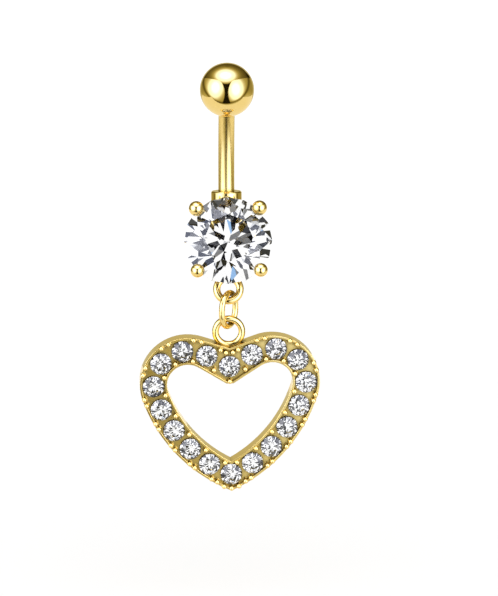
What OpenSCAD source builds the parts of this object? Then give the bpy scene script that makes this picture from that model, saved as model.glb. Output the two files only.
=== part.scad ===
// Navel ring with a round stone in a claw setting and an open heart hanging from it.
// Millimetres. The origin is the middle of the bar, +Z up, -Y towards the viewer.

/* [Bar] */
// Diameter of the bar that passes through the piercing
bar_d = 1.6; // [1.2:0.1:2]
// Length of the bar along its curve, from the collar to the ball
bar_length = 8.5; // [8:0.1:12]
// Angle that the bar bends through
bar_bend = 24; // [16:2:46]
// Angle that the bar's lower end leans forward, away from upright
bar_lower_lean = 6; // [4:1:16]
// Length of the bar's lower end that sinks into the collar
bar_sink = 0.4; // [0.2:0.05:0.5]

/* [Ball] */
// Diameter of the ball at the top of the bar
ball_d = 5.35; // [4:0.05:7]
// Diameter of the thinner post that the ball screws on
post_d = 1.2; // [0.8:0.1:1.4]
// Length of the thinner post
post_length = 2.4; // [1.6:0.1:3]
// Depth of the flat pocket in the ball that the bar's shoulder stands in
shoulder_depth = 0.3; // [0.2:0.05:0.6]

/* [Collar] */
// Diameter of the collar soldered round the bar's lower end
collar_d = 3.05; // [2.4:0.05:3.6]
// Height of the collar, from its flat top to its narrow foot
collar_h = 2.2; // [1.8:0.05:2.25]
// Height of the collar's straight wall
collar_wall_h = 1.05; // [1:0.05:1.4]
// Diameter of the collar's foot, where it is soldered to the setting
collar_foot_d = 1.8; // [1.4:0.1:2.2]
// Gap between the collar's rounded underside and the back of the main stone
collar_gap = 0.1; // [0.05:0.01:0.3]

/* [Stone cut] */
// Width of the table as a share of the stone's width
table_share = 0.55; // [0.5:0.01:0.62]
// Height of the crown as a share of the stone's width
crown_share = 0.15; // [0.12:0.005:0.17]
// Height of the girdle as a share of the stone's width
girdle_share = 0.02; // [0.01:0.005:0.04]
// Depth of the pavilion as a share of the stone's width
pavilion_share = 0.42; // [0.38:0.005:0.45]
// Height of the lower halves as a share of the pavilion's slope
lower_half_share = 0.76; // [0.6:0.01:0.85]

/* [Setting] */
// Diameter of the main stone
main_stone_d = 8.7; // [7:0.1:10]
// Angle that the main stone's table faces upward
setting_pitch = 24; // [8:1:28]
// Angle of the four prongs above and below level
prong_turn = 45; // [35:1:55]
// Thickness of the four prongs
prong_d = 0.95; // [0.7:0.05:1.1]
// Diameter of the two upper prong balls
upper_tip_d = 1.5; // [1.2:0.02:1.8]
// Diameter of the two lower prong balls
lower_tip_d = 1.38; // [1.2:0.02:1.8]
// Distance of a prong ball's centre outside the stone's edge
tip_out = 0.06; // [0:0.02:0.3]
// Height of a prong ball's centre above the stone's edge
tip_rise = 0.6; // [0.5:0.02:0.9]
// Wire thickness of the two rings of the setting
rail_wire_d = 0.8; // [0.6:0.05:1]
// Depth of the gallery ring behind the stone's edge
gallery_depth = 1.9; // [1.6:0.1:2.4]
// Gap between the gallery ring and the back of the main stone
gallery_gap = 0.11; // [0.05:0.01:0.2]
// Depth of the base ring behind the stone's edge
base_depth = 3.6; // [3:0.1:4.2]
// Radius of the base ring along the middle of its wire
base_r = 2.2; // [1.9:0.1:2.6]

/* [Eye and link] */
// Wire thickness of the eye ring under the setting
eye_wire_d = 0.74; // [0.6:0.02:0.8]
// Outer diameter of the eye ring
eye_d = 3.05; // [2.8:0.05:3.6]
// Length of the eye ring's wire that sinks into the gallery ring where the two are soldered
eye_solder = 0.45; // [0.15:0.05:0.5]
// Wire thickness of the oval link
link_wire_d = 0.6; // [0.4:0.02:0.66]
// Outer height of the oval link
link_h = 3.95; // [3.8:0.05:4.8]
// Outer width of the oval link
link_w = 3.6; // [3.2:0.05:3.75]
// Angle that the link is turned away from the viewer about the upright
link_turn = 61; // [57:1:90]
// Gap between links where one hangs in another
hang_gap = 0.1; // [0.05:0.01:0.15]

/* [Heart] */
// Width of the heart across its lobes
heart_w = 17.9; // [16:0.1:20]
// Height of the heart from its lobe tops to its tip
heart_h = 15.85; // [15:0.05:18]
// Thickness of the heart's plate
heart_t = 1.7; // [1.4:0.05:2.4]
// Width of the heart's band
band_w = 2.7; // [2.6:0.05:3]
// Outer radius of a lobe
lobe_r = 4.75; // [4.4:0.05:4.9]
// Angle below level at which a lobe runs into the heart's long side
lobe_end = 18; // [10:1:24]
// Depth of the outer notch between the lobes below their tops
notch_depth = 1.15; // [1:0.05:1.6]
// Depth of the top middle stone's centre below the lobe tops
top_stone_depth = 3.05; // [2.9:0.05:3.3]
// Metal between the top middle stone and the point of the inner notch
notch_edge = 0.85; // [0.6:0.05:1]
// Rise of the bottom stone's centre above the middle of the band
tip_stone_rise = 0.2; // [0:0.05:0.4]
// Angle that the heart is turned about the upright
heart_turn = 1; // [-20:1:20]
// Angle that the heart leans in its own plane
heart_lean = 0.8; // [-5:0.1:5]

/* [Heart stones] */
// Number of stones round the heart
stone_count = 18; // [16, 18]
// Diameter of a heart stone
stone_d = 2.15; // [1.9:0.05:2.2]
// Depth of a stone's edge below the heart's rims
stone_sink = 0.12; // [0.05:0.01:0.2]
// Diameter of the open hole behind each stone
seat_hole_d = 1.1; // [0.8:0.05:1.3]
// Gap between a stone and the metal that holds it
seat_gap = 0.03; // [0.02:0.01:0.05]

/* [Heart surface] */
// Width of the raised rims along both edges of the band
rim_w = 0.22; // [0.15:0.01:0.3]
// Depth of the band's sunken face between its rims
channel_depth = 0.35; // [0.2:0.05:0.5]
// Diameter of a bead that holds the stones
bead_d = 0.5; // [0.4:0.02:0.54]
// Distance of the outer beads from the middle of the band
outer_bead_out = 1.15; // [1.1:0.01:1.2]
// Half the spacing of the two outer beads of a pair
outer_bead_half = 0.3; // [0.26:0.01:0.34]
// Distance of the inner beads from the middle of the band
inner_bead_in = 0.96; // [0.9:0.01:1.05]
// Gap between the tip beads and the bottom stone
tip_bead_gap = 0.12; // [0.08:0.01:0.2]
// Angle between neighbouring tip beads, seen from the bottom stone
tip_bead_turn = 31; // [28:1:40]

/* [Bail] */
// Outer diameter of the heart's bail ring
bail_d = 3.3; // [3:0.05:3.8]
// Wire thickness of the bail ring
bail_wire_d = 0.68; // [0.5:0.02:0.74]
// Height of the bail ring's centre above the lobe tops
bail_rise = 0.35; // [0.2:0.05:0.6]

/* [Hidden] */
gold = "#d9ae45";
clear_stone = "#e4ebf2";
round_fn = 64;
over = 1;
far = 3 * heart_w;
arc_cross = 0.002;

function two_digits(n) = n < 10 ? str("0", n) : str(n);
function stone_name(i) = str("heart_stone_", two_digits(i + 1));

// Bar: an arc in the upright plane, its hollow side to the front
bar_r = bar_length / (bar_bend * PI / 180);
bar_middle_lean = bar_bend / 2 - bar_lower_lean;
bar_top_lean = bar_bend - bar_lower_lean;
function bar_point(lean) =
    bar_r * [0, cos(lean) - cos(bar_middle_lean), sin(lean) - sin(bar_middle_lean)];

// Collar: its rounded underside is part of a ball, whose middle lies bowl_up above the wall's lower edge
collar_r = collar_d / 2;
collar_foot_r = collar_foot_d / 2;
taper_h = collar_h - collar_wall_h;
bowl_up = (pow(collar_r, 2) - pow(collar_foot_r, 2) - pow(taper_h, 2)) / (2 * taper_h);
bowl_r = norm([collar_r, bowl_up]);
collar_foot = bar_point(-bar_lower_lean)
    - collar_h * [0, sin(bar_lower_lean), cos(bar_lower_lean)];

// Setting: its frame has X to the right, Y up along the stone's face and Z out of its table
main_r = main_stone_d / 2;
tip_r = main_r + tip_out;
prong_slope = (tip_r - base_r) / (tip_rise + base_depth);
face_up = [0, sin(setting_pitch), cos(setting_pitch)];
face_out = [0, -cos(setting_pitch), sin(setting_pitch)];

// The stone's back slopes in from its edge, and the gallery ring and the collar each keep their gap to it
girdle_depth = main_stone_d * girdle_share;
back_tilt = atan(2 * pavilion_share);
gallery_r = main_r + (rail_wire_d / 2 + gallery_gap) / sin(back_tilt)
    - (gallery_depth - girdle_depth) / tan(back_tilt);
foot_sink = 0.2;
collar_foot_up = gallery_r + rail_wire_d / 2 - foot_sink;
collar_tilt = back_tilt - setting_pitch + bar_lower_lean;
collar_foot_depth = girdle_depth + (main_r - collar_foot_up) * tan(back_tilt)
    + (bowl_r + collar_gap - (taper_h + bowl_up) * sin(collar_tilt)) / cos(back_tilt);
main_centre = collar_foot - collar_foot_up * face_up + collar_foot_depth * face_out;

// Eye, link and bail hang in one upright line
eye_r = (eye_d - eye_wire_d) / 2;
eye_drop = gallery_r + rail_wire_d / 2 - eye_solder + eye_d / 2;
eye_seat = main_centre - (eye_drop + eye_r) * face_up - gallery_depth * face_out;
link_leg = (link_w - link_wire_d) / 2;
link_half = (link_h - link_wire_d) / 2;
link_centre = eye_seat + [0, 0, (eye_wire_d + link_wire_d) / 2 + hang_gap - link_half];
bail_r = (bail_d - bail_wire_d) / 2;
bail_centre = link_centre
    + [0, 0, (bail_wire_d + link_wire_d) / 2 + hang_gap - link_half - bail_r];

// Heart: its frame has X to the right, Y up and Z out of its front face, from the bail's centre
stone_r = stone_d / 2;
lobe_c = [heart_w / 2 - lobe_r, -bail_rise - lobe_r];
tip_drop = heart_h - lobe_r;
side_more = (pow(lobe_c.x, 2) + pow(tip_drop, 2) - pow(lobe_r, 2))
    / (2 * (lobe_c.x * cos(lobe_end) - tip_drop * sin(lobe_end) + lobe_r));
side_c = lobe_c - side_more * [cos(lobe_end), -sin(lobe_end)];
mid_lobe_r = lobe_r - band_w / 2;
mid_side_r = mid_lobe_r + side_more;
top_stone_y = -bail_rise - top_stone_depth;
outer_notch_y = -bail_rise - notch_depth;
inner_notch_y = top_stone_y - stone_r - notch_edge;

// Angle of the line from a notch point that just touches a lobe of radius r
function touch_angle(notch_y, r) =
    let (d = lobe_c - [0, notch_y])
    asin(r / norm(d)) + atan2(d.y, d.x);

// Middle line of the band: a straight stretch from the notch, the lobe's arc, then the side's arc
mid_rise = touch_angle(top_stone_y, mid_lobe_r);
mid_run = sqrt(pow(norm(lobe_c - [0, top_stone_y]), 2) - pow(mid_lobe_r, 2));
mid_lobe_run = mid_lobe_r * (90 + mid_rise + lobe_end) * PI / 180;
side_tip_angle = acos(-side_c.x / mid_side_r);
mid_side_run = mid_side_r * (side_tip_angle - lobe_end) * PI / 180;
half_count = stone_count / 2;
pitch = (mid_run + mid_lobe_run + mid_side_run) / half_count;
tip_stone_y = side_c.y - mid_side_r * sin(side_tip_angle) + tip_stone_rise;

// Point on the middle line at a distance s from the notch, moved outward by out
function lobe_angle(s) = 90 + mid_rise - (s - mid_run) / mid_lobe_r * 180 / PI;
function side_angle(s) = -lobe_end - (s - mid_run - mid_lobe_run) / mid_side_r * 180 / PI;
function mid_point(s, out) =
    s < mid_run ? [0, top_stone_y] + s * [cos(mid_rise), sin(mid_rise)]
        + out * [-sin(mid_rise), cos(mid_rise)]
    : s < mid_run + mid_lobe_run
        ? lobe_c + (mid_lobe_r + out) * [cos(lobe_angle(s)), sin(lobe_angle(s))]
    : side_c + (mid_side_r + out) * [cos(side_angle(s)), sin(side_angle(s))];

// Stones run from the top middle one down the right side, past the tip and up the left side
function flip(p) = [-p.x, p.y];
function stone_at(i) =
    i == 0 ? [0, top_stone_y]
    : i == half_count ? [0, tip_stone_y]
    : i < half_count ? mid_point(i * pitch, 0)
    : flip(mid_point((stone_count - i) * pitch, 0));

// Where the tips of the star facets lie on a brilliant's crown
half_step = 22.5;
function star_radius(d) = d / 4 * (table_share * cos(half_step) + 1);
function star_height(d) =
    d * crown_share * (d / 2 - star_radius(d) * cos(half_step)) / (d / 2 * (1 - table_share));

// Round brilliant cut, table up, its girdle's upper edge at height 0
module brilliant(d) {
    r = d / 2;
    table_r = r * table_share;
    crown_h = d * crown_share;
    girdle_h = d * girdle_share;
    culet_z = -girdle_h - d * pavilion_share;
    lower_r = r * (1 - lower_half_share);
    lower_z = culet_z - (culet_z + girdle_h) * (1 - lower_half_share) * cos(half_step);
    ring = function (n, radius, z, start)
        [for (i = [0 : n - 1]) [radius * cos(start + 360 * i / n),
                                radius * sin(start + 360 * i / n), z]];
    table = 0;
    star = 8;
    upper = 16;
    lower = 32;
    pavilion = 48;
    culet = 56;
    points = concat(
        ring(8, table_r, crown_h, 0),
        ring(8, star_radius(d), star_height(d), half_step),
        ring(16, r, 0, 0),
        ring(16, r, -girdle_h, 0),
        ring(8, lower_r, lower_z, half_step),
        [[0, 0, culet_z]]
    );
    next8 = function (i) (i + 1) % 8;
    next16 = function (i) (i + 1) % 16;
    last8 = function (i) (i + 7) % 8;
    faces = concat(
        [[for (i = [7 : -1 : 0]) table + i]],
        [for (i = [0 : 7]) [table + i, table + next8(i), star + i]],
        [for (i = [0 : 7]) [table + i, star + i, upper + 2 * i, star + last8(i)]],
        [for (i = [0 : 7]) [star + i, upper + 2 * i + 1, upper + 2 * i]],
        [for (i = [0 : 7]) [star + i, upper + 2 * next8(i), upper + 2 * i + 1]],
        [for (i = [0 : 15]) [upper + i, upper + next16(i), lower + next16(i), lower + i]],
        [for (i = [0 : 7]) [pavilion + i, lower + 2 * i, lower + 2 * i + 1]],
        [for (i = [0 : 7]) [pavilion + i, lower + 2 * i + 1, lower + 2 * next8(i)]],
        [for (i = [0 : 7]) [culet, pavilion + last8(i), lower + 2 * i, pavilion + i]]
    );
    polyhedron(points, faces, convexity = 4);
}

// Outline of the room over a stone's edge, from its middle out: along its crown, or a straight way in
function crown_profile(d) =
    let (r = d / 2, table_r = r * table_share, star_r = star_radius(d))
    seat_gap * [[0, 1], [1, 1], [1, 1], [1, 1]]
        + [[0, d * crown_share], [table_r, d * crown_share], [star_r, star_height(d)], [r, 0]];
function open_profile(d, rise) = [[0, rise], [d / 2 + seat_gap, rise]];

// Room that a stone takes in its seat, with the gap added
module stone_room(d, front, hole_d, back) {
    r = d / 2 + seat_gap;
    edge_z = -d * girdle_share - seat_gap;
    slope = (pavilion_share * d + seat_gap) / r;
    rotate_extrude($fn = round_fn)
        polygon(concat(front, [
            [r, edge_z], [hole_d / 2, edge_z - slope * (r - hole_d / 2)],
            [hole_d / 2, -back], [0, -back]
        ]));
}

module torus(r, wire_d) {
    rotate_extrude($fn = round_fn) translate([r, 0]) circle(d = wire_d, $fn = round_fn);
}

// Turns a piece drawn with X right, Y up and Z to the viewer into the model's frame
module face_front(pitch_up = 0) {
    rotate([90 - pitch_up, 0, 0]) children();
}

module place_setting() {
    translate(main_centre) face_front(setting_pitch) children();
}

module place_heart() {
    translate(bail_centre) rotate([0, -heart_lean, heart_turn]) face_front() children();
}

module place_on_bar(lean) {
    translate(bar_point(lean)) rotate([lean, 0, 0]) children();
}

module bar() {
    sink_turn = bar_bend * bar_sink / bar_length;
    translate([0, -bar_r * cos(bar_middle_lean), -bar_r * sin(bar_middle_lean)])
        rotate([90, 0, 90]) rotate([0, 0, -bar_lower_lean - sink_turn])
            rotate_extrude(angle = bar_bend + sink_turn, $fn = round_fn)
                translate([bar_r, 0]) circle(d = bar_d, $fn = round_fn);
}

module post() {
    place_on_bar(bar_top_lean)
        translate([0, 0, -over / 4]) cylinder(d = post_d, h = post_length + over / 4, $fn = round_fn);
}

module collar() {
    bevel = 0.12;
    place_on_bar(-bar_lower_lean)
        rotate_extrude($fn = round_fn) {
            translate([0, -collar_wall_h])
                polygon([[0, 0], [collar_r, 0], [collar_r, collar_wall_h - bevel],
                         [collar_r - bevel, collar_wall_h], [0, collar_wall_h]]);
            intersection() {
                translate([0, bowl_up - collar_wall_h]) circle(bowl_r, $fn = round_fn);
                translate([0, -collar_h]) square([collar_r, taper_h]);
            }
        }
}

module prong(turn, tip_d) {
    length = norm([tip_r - base_r, tip_rise + base_depth]);
    rotate([0, 0, turn]) translate([base_r, 0, -base_depth])
        rotate([0, atan(prong_slope), 0]) {
            cylinder(d = prong_d, h = length, $fn = round_fn);
            sphere(d = prong_d, $fn = round_fn);
            translate([0, 0, length]) sphere(d = tip_d, $fn = round_fn);
        }
}

module setting() {
    place_setting() {
        difference() {
            union() {
                for (turn = [prong_turn, 180 - prong_turn]) prong(turn, upper_tip_d);
                for (turn = [-prong_turn, 180 + prong_turn]) prong(turn, lower_tip_d);
            }
            stone_room(main_stone_d, crown_profile(main_stone_d), prong_d / 2, base_depth + prong_d);
        }
        translate([0, 0, -gallery_depth]) torus(gallery_r, rail_wire_d);
        translate([0, 0, -base_depth]) torus(base_r, rail_wire_d);
        translate([0, -eye_drop, -gallery_depth]) torus(eye_r, eye_wire_d);
    }
}

module top_ball() {
    r = ball_d / 2;
    shoulder_r = bar_d / 2 + seat_gap;
    sink = r - sqrt(pow(r, 2) - pow(shoulder_r, 2));
    color(gold)
        place_on_bar(bar_top_lean)
            difference() {
                translate([0, 0, r - sink - shoulder_depth]) sphere(d = ball_d, $fn = round_fn);
                translate([0, 0, -over]) cylinder(r = shoulder_r, h = over + seat_gap, $fn = round_fn);
                cylinder(d = post_d + 2 * seat_gap, h = post_length + 2 * seat_gap, $fn = round_fn);
            }
}

module bar_and_setting() {
    color(gold)
        union() {
            bar();
            post();
            collar();
            setting();
        }
}

module main_stone() {
    color(clear_stone) place_setting() brilliant(main_stone_d);
}

// Oval of wire: two straight legs and two half rings, in the X and Y plane
module oval(leg, half, wire_d) {
    straight = half - leg;
    for (side = [-1, 1]) {
        rotate([0, 0, side * 90 - 90]) translate([0, straight, 0])
            rotate_extrude(angle = 180, $fn = round_fn) translate([leg, 0]) circle(d = wire_d, $fn = round_fn);
        translate([side * leg, straight, 0])
            rotate([90, 0, 0]) cylinder(d = wire_d, h = 2 * straight, $fn = round_fn);
    }
}

module link() {
    color(gold)
        translate(link_centre) rotate([0, 0, link_turn]) face_front()
            oval(link_leg, link_half, link_wire_d);
}

// Half of the heart's outline, drawn in by inset from the outer edge, with its notch point at notch_y.
// The straight stretch and the side's arc cross the lobe's arc by a hair, so that each two meet in one point.
module half_heart_area(inset, notch_y) {
    r = lobe_r - inset;
    rise = touch_angle(notch_y, r);
    side_out = [cos(lobe_end), -sin(lobe_end)];
    polygon([[0, notch_y], [0, lobe_c.y], lobe_c, lobe_c + (r - arc_cross) * [-sin(rise), cos(rise)]]);
    intersection() {
        translate(lobe_c) circle(r, $fn = round_fn);
        translate([0, -far]) square([far, 2 * far]);
    }
    intersection() {
        translate(side_c) circle(r + side_more - arc_cross, $fn = 2 * round_fn);
        polygon([lobe_c, [0, lobe_c.y], [0, -far], [far, -far], lobe_c + far * side_out]);
    }
}

module heart_area(inset, notch_y) {
    half_heart_area(inset, notch_y);
    mirror([1, 0]) half_heart_area(inset, notch_y);
}

module band_area(edge) {
    difference() {
        heart_area(edge, outer_notch_y - edge);
        heart_area(band_w - edge, inner_notch_y + edge);
    }
}

module bead(p) {
    translate([p.x, p.y, 0]) {
        sphere(d = bead_d, $fn = round_fn / 2);
        translate([0, 0, -channel_depth - bead_d / 4])
            cylinder(d = bead_d, h = channel_depth + bead_d / 4, $fn = round_fn / 2);
    }
}

module beads() {
    for (i = [0 : half_count - 1]) {
        middle = (i + 0.5) * pitch;
        spots = [mid_point(middle - outer_bead_half, outer_bead_out),
                 mid_point(middle + outer_bead_half, outer_bead_out),
                 mid_point(middle, -inner_bead_in)];
        for (p = spots) {
            bead(p);
            bead(flip(p));
        }
    }
    bead([0, (inner_notch_y + top_stone_y - stone_r) / 2]);
    reach = stone_r + tip_bead_gap + bead_d / 2;
    for (turn = tip_bead_turn * [-1, 0, 1])
        bead([0, tip_stone_y] + reach * [sin(turn), -cos(turn)]);
}

module heart_frame() {
    front = heart_t / 2;
    color(gold)
        place_heart()
            union() {
                difference() {
                    translate([0, 0, -front]) linear_extrude(heart_t) band_area(0);
                    translate([0, 0, front - channel_depth])
                        linear_extrude(channel_depth + over) band_area(rim_w);
                    for (i = [0 : stone_count - 1])
                        translate([stone_at(i).x, stone_at(i).y, front - stone_sink])
                            stone_room(stone_d, open_profile(stone_d, over), seat_hole_d, heart_t);
                }
                translate([0, 0, front]) beads();
                torus(bail_r, bail_wire_d);
            }
}

module heart_stone(i) {
    color(clear_stone)
        place_heart()
            translate([stone_at(i).x, stone_at(i).y, heart_t / 2 - stone_sink]) brilliant(stone_d);
}

top_ball();
bar_and_setting();
main_stone();
link();
heart_frame();
for (i = [0 : stone_count - 1])
    heart_stone(i);
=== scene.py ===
"""Looks for a navel ring: polished gold plate, round brilliant stones, a soft studio and the camera."""

import math

import bpy
from mathutils import Matrix, Vector


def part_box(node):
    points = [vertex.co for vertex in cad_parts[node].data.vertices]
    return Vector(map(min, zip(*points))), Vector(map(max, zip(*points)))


MM = 0.001

# The view of the photograph: a long lens, a little to the left of the front and a little above
VIEW_AZIMUTH = math.radians(-3)
VIEW_ELEVATION = math.radians(14)
VIEW_DISTANCE = 400 * MM
VIEW_TARGET = Vector((0, 0, -14 * MM))
PIXELS_PER_MM = 10
IMAGE_SIZE = (498, 596)
BALL_PIXEL = (227, 89.8)
SENSOR_LONG_SIDE = 36
NEAREST_SEEN = 10 * MM
FARTHEST_SEEN = 20

# The gold plate: its two tones, the painted shade laid into its recesses and the tint of its glancing
# reflections
GOLD = (0.84, 0.592, 0.16)
PALE_GOLD = (0.92, 0.71, 0.30)
PAINTED_RECESS_SHADE = (0.36, 0.25, 0.05)
GOLD_GLANCE = (1.0, 0.97, 0.88)

# Cells in a metre of the slow change of tone and of the polishing grain, and the roughness of that grain
TONE_CELLS = 420
GRAIN_CELLS = 9000
GRAIN_ROUGHNESS = (0.03, 0.075)

# How far round a point its walls count, the shares of open air from the deepest painted shade in a recess to
# none, and the added roughness of a recess
RECESS_REACH = 0.45 * MM
RECESS_AIR = (0.42, 0.95)
RECESS_SATIN = 0.3

# The bar's added roughness, and the stretch over which it sets in at both ends
BAR_SATIN = 0.18
BAR_FADE = 0.25 * MM

# Radius of the metal's softened edges
EDGE_RADIUS = 0.09 * MM

# The stones: refraction, tint of what they mirror, the tone of facets with a painted dark reflection and of
# clear ones, and the share painted dark
STONE_INDEX = 2.17
STONE_GLANCE = (0.35, 0.35, 0.35)
PAINTED_DARK_REFLECTION = (0.02, 0.02, 0.02)
LARGE_CLEAR = 0.86
LARGE_PAINTED_DARK_SHARE = 0.06
SMALL_CLEAR = 0.99
SMALL_PAINTED_DARK_SHARE = 0.15

# Normals within one step are one facet's, and a flat faces along the table's normal by this cosine or more
FACET_STEP = 0.05
FLAT_COSINE = 0.97

# The light tent, drawn on the face of a ball in shares of its radius, with x to the right and y up. First
# comes the lower edge of the top panel: an arch in the middle and a slant further out
TENT_MIDDLE = -0.03
ARCH_FOOT = 0.19
ARCH_CURVE = 1.9
SLANT_FOOT = 0.24
SLANT_RISE = 0.28
EDGE_BLUR = 0.012

# The camera's slot between the front panels: its sides at its waist, the waist's height and how it widens
SLOT_LEFT = -0.07
SLOT_RIGHT = 0.035
SLOT_WAIST = -0.15
SLOT_CURVE = 0.68
SLOT_BLUR = 0.03

# Lamps behind the panels, each a centre and its radii, and their light
LEFT_LAMP = ((-0.42, 0.06), (0.20, 0.27))
RIGHT_LAMP = ((0.33, 0.0), (0.20, 0.29))
TOP_LAMP = ((-0.05, 0.50), (0.27, 0.17))
TOP_GLOW = ((-0.04, 0.45), (0.62, 0.40))
LAMP_LIGHT = 5.0
GLOW_LIGHT = 0.38
PANEL_LIGHT = 0.42

# The oval round the front panels, where the sweep outside it begins and ends, and the dark seam along it
OVAL = ((-0.03, 0.27), (0.83, 0.80))
OVAL_EDGE = (0.98, 1.04)
SEAM_WIDTH = 0.11
SEAM_DEPTH = 0.75

# Soft steps: where each begins and ends, then the light at both where it isn't 0 and 1
SWEEP_TOP = (0.46, 0.30)
SWEEP_LIGHT = (0.05, -0.50, 0.36, 0.9)
BACKDROP_EDGE = (0.32, 0.26)
BACKDROP_LIGHT = (-0.9, 0.9, 0.76, 0.6)
DIMMEST = 0.012

# The tent's colour at each brightness: what is dim is warmer and what is hot is cooler
TENT_TINTS = [(0.0, (1.0, 0.82, 0.22)), (0.45, (1.0, 0.91, 0.42)), (0.75, (1.0, 1.0, 0.85)),
              (0.95, (1.0, 1.1, 1.3)), (1.3, (1.0, 1.15, 1.65)), (2.5, (1.0, 1.03, 1.2))]

# What the stones refract: the patches' number and place, their tones and the share where each tone starts
SPARKLE_CELLS = 7.0
SPARKLE_SHIFT = (0.7, 3.9, 8.2)
SPARKLE_TONES = [(0.0, (0.006, 0.006, 0.008)), (0.22, (0.05, 0.052, 0.06)), (0.31, (0.20, 0.204, 0.215)),
                 (0.37, (0.60, 0.61, 0.63)), (0.46, (1.0, 1.0, 1.0)), (0.96, (0.30, 0.50, 0.80))]
SPARKLE_LIGHT = 1.3

# The plain white light that the floor and all else receive
PLAIN_LIGHT = 1.1

# The pale floor under and behind the ring
FLOOR_Z = -45 * MM
FLOOR_FRONT = -38 * MM
FLOOR_REACH = 130 * MM
FLOOR_TONE = (0.93, 0.93, 0.93)
FLOOR_ROUGHNESS = 0.9


class Graph:
    """Adds nodes to a node tree and wires numbers and vectors through them."""

    def __init__(self, tree):
        self.tree = tree

    def node(self, kind, inputs=(), **settings):
        node = self.tree.nodes.new("ShaderNode" + kind)
        for name, value in settings.items():
            setattr(node, name, value)
        for key, value in dict(inputs).items():
            if isinstance(value, bpy.types.NodeSocket):
                self.tree.links.new(value, node.inputs[key])
            else:
                node.inputs[key].default_value = value
        return node

    def math(self, operation, *values):
        return self.node("Math", enumerate(values), operation=operation).outputs[0]

    def add(self, *values):
        total = values[0]
        for value in values[1:]:
            total = self.math("ADD", total, value)
        return total

    def times(self, *values):
        product = values[0]
        for value in values[1:]:
            product = self.math("MULTIPLY", product, value)
        return product

    def step(self, value, low, high, bottom=0.0, top=1.0):
        """Smooth from bottom, at low and before it, to top, at high and past it. High may lie below low."""
        inputs = {"Value": value, "From Min": low, "From Max": high, "To Min": bottom, "To Max": top}
        node = self.node("MapRange", inputs, interpolation_type="SMOOTHSTEP")
        return node.outputs["Result"]

    def dot(self, vector, constant):
        inputs = enumerate((vector, constant))
        return self.node("VectorMath", inputs, operation="DOT_PRODUCT").outputs["Value"]

    def mix(self, share, low, high):
        """The number low where the share is 0, high where it is 1."""
        return self.node("Mix", {0: share, 2: low, 3: high}).outputs[0]

    def oval(self, x, y, centre, radii):
        """How far out a point lies: 0 at the oval's centre, 1 on its outline and more outside it."""
        u = self.math("DIVIDE", self.math("SUBTRACT", x, centre[0]), radii[0])
        v = self.math("DIVIDE", self.math("SUBTRACT", y, centre[1]), radii[1])
        return self.add(self.times(u, u), self.times(v, v))

    def spot(self, x, y, centre, radii):
        """A soft spot: 1 at its centre, a third at its radii and nearly 0 from twice as far out."""
        return self.math("POWER", math.e, self.times(self.oval(x, y, centre, radii), -1.0))

    def blend(self, value, stops):
        """Colours that run smoothly into each other: each stop is a value and the colour there."""
        place, tint = stops[0]
        colour = (*tint, 1)
        for next_place, tint in stops[1:]:
            inputs = {"Fac": self.step(value, place, next_place), "Color1": colour, "Color2": (*tint, 1)}
            colour = self.node("MixRGB", inputs).outputs[0]
            place = next_place
        return colour

    def ramp(self, value, stops):
        """Hard steps of colour: each stop is the value where it starts and its colour."""
        node = self.node("ValToRGB", {"Fac": value})
        node.color_ramp.interpolation = "CONSTANT"
        elements = node.color_ramp.elements
        while len(elements) < len(stops):
            elements.new(1.0)
        for element, (place, colour) in zip(elements, stops):
            element.position = place
            element.color = (*colour, 1)
        return node.outputs["Color"]


def view_axes():
    """The right, up and backward directions of the photograph's camera."""
    azimuth, elevation = VIEW_AZIMUTH, VIEW_ELEVATION
    forward = Vector((-math.sin(azimuth) * math.cos(elevation),
                      math.cos(azimuth) * math.cos(elevation), -math.sin(elevation)))
    right = Vector((math.cos(azimuth), math.sin(azimuth), 0))
    return right, right.cross(forward), -forward


def add_camera(ball_centre):
    """Places the camera so that the ball's centre falls where the photograph has it."""
    right, up, back = view_axes()
    camera = bpy.data.cameras.new("camera")
    camera.sensor_width = SENSOR_LONG_SIDE
    focal_pixels = PIXELS_PER_MM * VIEW_DISTANCE / MM
    camera.lens = SENSOR_LONG_SIDE * focal_pixels / max(IMAGE_SIZE)
    camera.clip_start = NEAREST_SEEN
    camera.clip_end = FARTHEST_SEEN
    depth = VIEW_DISTANCE - (ball_centre - VIEW_TARGET).dot(back)
    across = (BALL_PIXEL[0] - IMAGE_SIZE[0] / 2) * depth / focal_pixels
    above = (IMAGE_SIZE[1] / 2 - BALL_PIXEL[1]) * depth / focal_pixels
    place = ball_centre - across * right - above * up + depth * back
    holder = bpy.data.objects.new("camera", camera)
    holder.matrix_world = Matrix.Translation(place) @ Matrix((right, up, back)).transposed().to_4x4()
    bpy.context.scene.collection.objects.link(holder)
    bpy.context.scene.camera = holder


def top_edge(g, x):
    """The height of the top panel's lower edge, which is also the upper edge of the front panels."""
    off = g.math("ABSOLUTE", g.math("SUBTRACT", x, TENT_MIDDLE))
    arch = g.add(g.times(off, off, ARCH_CURVE), ARCH_FOOT)
    return g.math("MINIMUM", arch, g.add(g.times(off, SLANT_RISE), SLANT_FOOT))


def front_panels(g, x, y):
    """Two panels that bow towards each other across the camera's slot, each with its lamp."""
    rise = g.math("SUBTRACT", y, SLOT_WAIST)
    bow = g.times(rise, rise, SLOT_CURVE)
    on_left = g.step(g.add(x, bow), SLOT_LEFT, SLOT_LEFT - SLOT_BLUR)
    on_right = g.step(g.math("SUBTRACT", x, bow), SLOT_RIGHT, SLOT_RIGHT + SLOT_BLUR)
    left = g.add(g.times(g.spot(x, y, *LEFT_LAMP), LAMP_LIGHT), PANEL_LIGHT)
    right = g.add(g.times(g.spot(x, y, *RIGHT_LAMP), LAMP_LIGHT), PANEL_LIGHT)
    return g.add(g.times(on_left, left), g.times(on_right, right))


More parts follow.
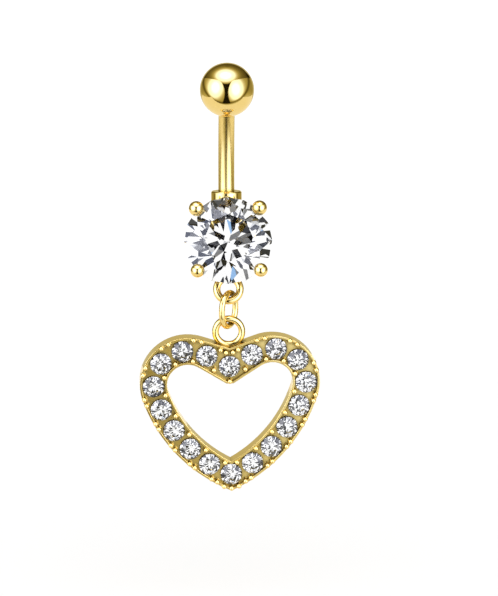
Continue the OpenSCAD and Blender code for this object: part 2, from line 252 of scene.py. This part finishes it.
def top_panel(g, x, y):
    """A panel that is hot in the middle and fades all round."""
    return g.add(g.times(g.spot(x, y, *TOP_LAMP), LAMP_LIGHT), g.times(g.spot(x, y, *TOP_GLOW), GLOW_LIGHT))


def tent_light(g, ray):
    """A light tent: two front panels with the camera's slot between them, a top panel and a pale sweep.

    The panels are drawn as a polished ball in the middle of the tent mirrors them: x runs to the right and
    y up across that ball's face, and every direction in the tent has its own place there.
    """
    right, up, back = view_axes()
    halfway = g.node("VectorMath", enumerate((ray, back)), operation="ADD").outputs[0]
    normal = g.node("VectorMath", {0: halfway}, operation="NORMALIZE").outputs[0]
    x = g.dot(normal, right)
    y = g.dot(normal, up)

    over_edge = g.math("SUBTRACT", y, top_edge(g, x))
    on_top = g.step(over_edge, -EDGE_BLUR, EDGE_BLUR)
    panels = g.mix(on_top, front_panels(g, x, y), top_panel(g, x, y))

    # The pale sweep lies outside the oval, up to the dark upper back, and a dark seam runs along the oval
    out = g.oval(x, y, *OVAL)
    on_sweep = g.times(g.step(out, *OVAL_EDGE), g.step(y, *SWEEP_TOP))
    seam = g.times(g.spot(out, 0.0, (OVAL_EDGE[0], 0.0), (SEAM_WIDTH, 1.0)), SEAM_DEPTH)
    tent = g.times(g.mix(on_sweep, panels, g.step(y, *SWEEP_LIGHT)), g.math("SUBTRACT", 1.0, seam))

    # The backdrop is far behind the ring
    on_backdrop = g.step(g.dot(normal, back), *BACKDROP_EDGE)
    light = g.mix(on_backdrop, tent, g.step(y, *BACKDROP_LIGHT))
    return g.blend(light, TENT_TINTS), g.math("MAXIMUM", light, DIMMEST)


def sparkle_light(g, ray):
    """What the stones' facets throw back: bright, grey and dark patches of the room, and a few blue ones."""
    shifted = g.node("VectorMath", {0: ray, 1: SPARKLE_SHIFT}, operation="ADD").outputs[0]
    cells = g.node("TexVoronoi", {"Vector": shifted, "Scale": SPARKLE_CELLS}).outputs["Color"]
    pick = g.node("SeparateColor", {"Color": cells}).outputs["Red"]
    return g.ramp(pick, SPARKLE_TONES)


def studio_world():
    world = bpy.data.worlds.new("studio")
    world.use_nodes = True
    world.node_tree.nodes.clear()
    g = Graph(world.node_tree)
    ray = g.node("TexCoord").outputs["Generated"]
    path = g.node("LightPath").outputs
    colour, strength = tent_light(g, ray)
    tent = g.node("Background", {"Color": colour, "Strength": strength})
    sparkle = g.node("Background", {"Color": sparkle_light(g, ray), "Strength": SPARKLE_LIGHT})
    plain = g.node("Background", {"Color": (1, 1, 1, 1), "Strength": PLAIN_LIGHT})
    mirrored = g.node("MixShader", {0: path["Is Glossy Ray"], 1: plain.outputs[0], 2: tent.outputs[0]})
    through = path["Is Transmission Ray"]
    light = g.node("MixShader", {0: through, 1: mirrored.outputs[0], 2: sparkle.outputs[0]})
    g.node("OutputWorld", {"Surface": light.outputs[0]})
    bpy.context.scene.world = world


def add_floor():
    """A pale floor under and behind the ring."""
    mesh = bpy.data.meshes.new("floor")
    corners = [(-FLOOR_REACH, FLOOR_FRONT, FLOOR_Z), (FLOOR_REACH, FLOOR_FRONT, FLOOR_Z),
               (FLOOR_REACH, FLOOR_REACH, FLOOR_Z), (-FLOOR_REACH, FLOOR_REACH, FLOOR_Z)]
    mesh.from_pydata(corners, [], [(0, 1, 2, 3)])
    floor = bpy.data.objects.new("floor", mesh)
    bpy.context.scene.collection.objects.link(floor)
    material = bpy.data.materials.new("floor")
    material.use_nodes = True
    shader = material.node_tree.nodes["Principled BSDF"]
    shader.inputs["Base Color"].default_value = (*FLOOR_TONE, 1)
    shader.inputs["Roughness"].default_value = FLOOR_ROUGHNESS
    shader.inputs["Specular IOR Level"].default_value = 0.0
    mesh.materials.append(material)


def gold_material(bar_low, bar_high):
    """Polished gold plate: a fine grain, soft edges, a slow change of tone, and recesses with painted shade
    and more roughness.

    The bar, between the heights bar_low and bar_high, is a little duller than the rest.
    """
    material = bpy.data.materials.new("polished_gold_plate")
    material.use_nodes = True
    g = Graph(material.node_tree)
    shader = material.node_tree.nodes["Principled BSDF"]
    shader.inputs["Metallic"].default_value = 1.0
    shader.inputs["Specular Tint"].default_value = (*GOLD_GLANCE, 1)
    place = g.node("TexCoord").outputs["Object"]
    slow = g.node("TexNoise", {"Vector": place, "Scale": TONE_CELLS, "Detail": 2.0}).outputs["Fac"]
    tone = g.node("MixRGB", {"Fac": slow, "Color1": (*GOLD, 1), "Color2": (*PALE_GOLD, 1)}).outputs[0]
    # Painted shade: the less open air round a point, the nearer its colour is darkened to the deep recess
    # tone
    open_air = g.node("AmbientOcclusion", {"Distance": RECESS_REACH}, samples=6).outputs["AO"]
    open_share = g.step(open_air, *RECESS_AIR)
    colour = g.node("MixRGB", {"Fac": open_share, "Color1": (*PAINTED_RECESS_SHADE, 1), "Color2": tone}).outputs[0]
    material.node_tree.links.new(colour, shader.inputs["Base Color"])
    grain = g.node("TexNoise", {"Vector": place, "Scale": GRAIN_CELLS, "Detail": 3.0}).outputs["Fac"]
    low, high = GRAIN_ROUGHNESS
    rough = g.node("MapRange", {"Value": grain, "To Min": low, "To Max": high}).outputs[0]
    recess = g.times(g.math("SUBTRACT", 1.0, open_share), RECESS_SATIN)
    height = g.node("SeparateXYZ", {"Vector": place}).outputs["Z"]
    above = g.step(height, bar_low, bar_low + BAR_FADE)
    below = g.step(height, bar_high, bar_high - BAR_FADE)
    rough = g.add(rough, recess, g.times(above, below, BAR_SATIN))
    material.node_tree.links.new(rough, shader.inputs["Roughness"])
    soft_edge = g.node("Bevel", {"Radius": EDGE_RADIUS}, samples=4).outputs["Normal"]
    material.node_tree.links.new(soft_edge, shader.inputs["Normal"])
    return material


def table_direction(piece):
    """The way a stone's table faces: its flat of the largest area."""
    areas = {}
    for face in piece.data.polygons:
        key = tuple(round(part, 2) for part in face.normal)
        areas[key] = areas.get(key, 0) + face.area
    return max(areas, key=areas.get)


def stone_material(name, table, clear, painted_dark_share):
    """Stone of a high index, clear in tone by the share clear, with a share of its facets painted dark as a
    painted dark reflection.

    The table, which faces the way given, and the flat point opposite it are never painted dark.
    """
    material = bpy.data.materials.new(name)
    material.use_nodes = True
    g = Graph(material.node_tree)
    shader = material.node_tree.nodes["Principled BSDF"]
    shader.inputs["Transmission Weight"].default_value = 1.0
    shader.inputs["Roughness"].default_value = 0.0
    shader.inputs["Specular Tint"].default_value = (*STONE_GLANCE, 1)
    shader.inputs["IOR"].default_value = STONE_INDEX
    facing = g.node("NewGeometry").outputs["True Normal"]
    spaces = {"vector_type": "NORMAL", "convert_from": "WORLD", "convert_to": "OBJECT"}
    normal = g.node("VectorTransform", {0: facing}, **spaces).outputs[0]
    facet = g.node("VectorMath", {0: normal, 1: [FACET_STEP] * 3}, operation="SNAP").outputs[0]
    stone = g.node("ObjectInfo").outputs["Random"]
    pick = g.node("TexWhiteNoise", {"Vector": facet, "W": stone}, noise_dimensions="4D").outputs["Value"]
    clear_tone = (clear, clear, clear)
    # Painted reflection: each facet at random gets the dark tone, standing in for dark surroundings
    # mirrored, or the clear one
    tones = g.ramp(pick, [(0.0, PAINTED_DARK_REFLECTION), (painted_dark_share, clear_tone)])
    on_flat = g.math("GREATER_THAN", g.math("ABSOLUTE", g.dot(normal, table)), FLAT_COSINE)
    colour = g.node("MixRGB", {"Fac": on_flat, "Color1": tones, "Color2": (*clear_tone, 1)}).outputs[0]
    material.node_tree.links.new(colour, shader.inputs["Base Color"])
    return material


def dress(nodes):
    gold = gold_material(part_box("main_stone")[1].z + BAR_FADE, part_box("top_ball")[0].z)
    large_table = table_direction(nodes["main_stone"])
    small_table = table_direction(nodes["heart_stone_01"])
    large = stone_material("large_cut_stone", large_table, LARGE_CLEAR, LARGE_PAINTED_DARK_SHARE)
    small = stone_material("small_cut_stone", small_table, SMALL_CLEAR, SMALL_PAINTED_DARK_SHARE)
    for name, piece in nodes.items():
        material = large if name == "main_stone" else small if "stone" in name else gold
        piece.data.materials.clear()
        piece.data.materials.append(material)


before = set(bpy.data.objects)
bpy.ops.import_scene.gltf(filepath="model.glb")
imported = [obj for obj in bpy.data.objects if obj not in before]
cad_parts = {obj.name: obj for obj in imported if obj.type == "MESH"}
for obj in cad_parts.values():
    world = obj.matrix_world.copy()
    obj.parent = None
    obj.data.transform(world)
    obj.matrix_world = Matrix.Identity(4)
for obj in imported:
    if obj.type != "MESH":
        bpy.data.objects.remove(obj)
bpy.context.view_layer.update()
low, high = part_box("top_ball")
add_camera((low + high) / 2)
studio_world()
add_floor()
dress(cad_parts)
bpy.context.scene.view_settings.view_transform = "Standard"
